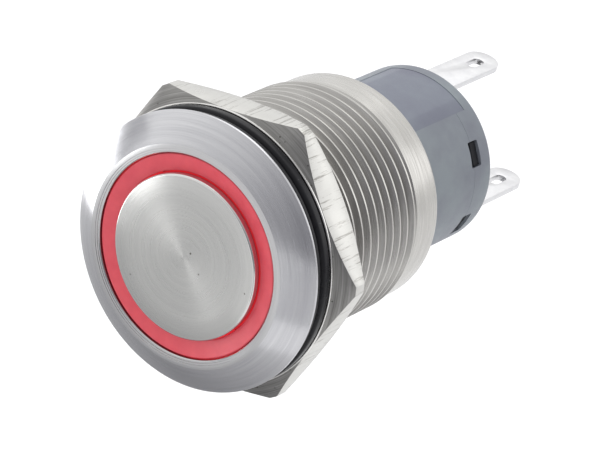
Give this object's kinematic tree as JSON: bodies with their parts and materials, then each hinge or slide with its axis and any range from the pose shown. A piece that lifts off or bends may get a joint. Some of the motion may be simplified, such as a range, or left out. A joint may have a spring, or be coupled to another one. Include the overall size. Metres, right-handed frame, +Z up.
{
  "type": "industrial push button",
  "caption": "Round metal panel push button with a lit ring, sprung button, threaded barrel, rubber gasket, hexagon nut and a plastic switch base with solder lugs.",
  "frame": {"origin": "centre of the flange's rear face, where the button sits against the front of its panel", "axes": "+Y along the button's axis towards the rear, so the button faces -Y; +Z up, square to the solder lugs"},
  "size_m": [0.0246, 0.0408, 0.0238],
  "materials": {
    "stainless_steel": "turned, fine concentric grain on the flange, satin thread and band",
    "button_steel": "spun, concentric grain with a bright cross streak",
    "ring_red": "translucent red, satin",
    "nylon": "natural moulded",
    "black_plastic": "moulded",
    "rubber": "smooth black",
    "spring_steel": "drawn wire",
    "clear_plastic": "clear moulded",
    "circuit_board": "green solder mask",
    "lamp_red": "tinted lens",
    "chip_black": "ceramic chip",
    "tinned_brass": "bright tin plate",
    "nickel_plate": "nickel plate over machined faces",
    "grey_plastic": "fine moulded texture, blue-grey",
    "resin": "poured, glossy",
    "spring_brass": "rolled strip",
    "contact_silver": "silver alloy"
  },
  "bodies": {
    "housing": {"bezel_body": "stainless_steel", "light_ring": "ring_red", "plunger_guide": "black_plastic", "plunger_seal": "rubber", "return_spring": "spring_steel", "light_guide": "clear_plastic", "led_board": "circuit_board", "led_1": "lamp_red", "led_2": "lamp_red", "led_3": "lamp_red", "led_4": "lamp_red", "resistor": "chip_black", "led_lead_plus": "tinned_brass", "led_lead_minus": "tinned_brass", "gasket": "rubber", "rear_housing": "grey_plastic", "contact_base": "black_plastic", "rear_seal": "resin", "terminal_common": "tinned_brass", "terminal_no": "tinned_brass", "terminal_nc": "tinned_brass", "terminal_led_plus": "tinned_brass", "terminal_led_minus": "tinned_brass", "contact_no": "contact_silver", "contact_nc": "contact_silver"},
    "button": {"button_cap": "button_steel", "plunger": "nylon", "contact_spring": "spring_steel"},
    "lever": {"contact_lever": "spring_brass", "lever_rivet": "contact_silver"},
    "nut_carrier": {"nut_washer": "nickel_plate"},
    "nut": {"hex_nut": "nickel_plate"}
  },
  "joints": [
    {"name": "button_press", "type": "slide", "parent": "housing", "child": "button", "axis": [0, 1, 0], "range_m": [0, 0.002], "stiffness_N_per_m": 800, "springref_m": -0.002, "deforming": ["return_spring", "contact_spring"]},
    {"name": "contact_swing", "type": "hinge", "parent": "housing", "child": "lever", "pos_m": [0, 0.02255, 0.005], "axis": [1, 0, 0], "range_deg": [0, 6.6]},
    {"name": "nut_travel", "type": "slide", "parent": "housing", "child": "nut_carrier", "axis": [0, 1, 0], "range_m": [0, 0.0101]},
    {"name": "nut_turn", "type": "hinge", "parent": "nut_carrier", "child": "nut", "pos_m": [0, 0.0033, 0], "axis": [0, 1, 0], "range_deg": [0, 3600]}
  ],
  "couplings": [
    {"joint": "contact_swing", "follows": "button_press", "rad_per_m": 57.5},
    {"joint": "nut_travel", "follows": "nut_turn", "m_per_rad": 0.00015915}
  ]
}
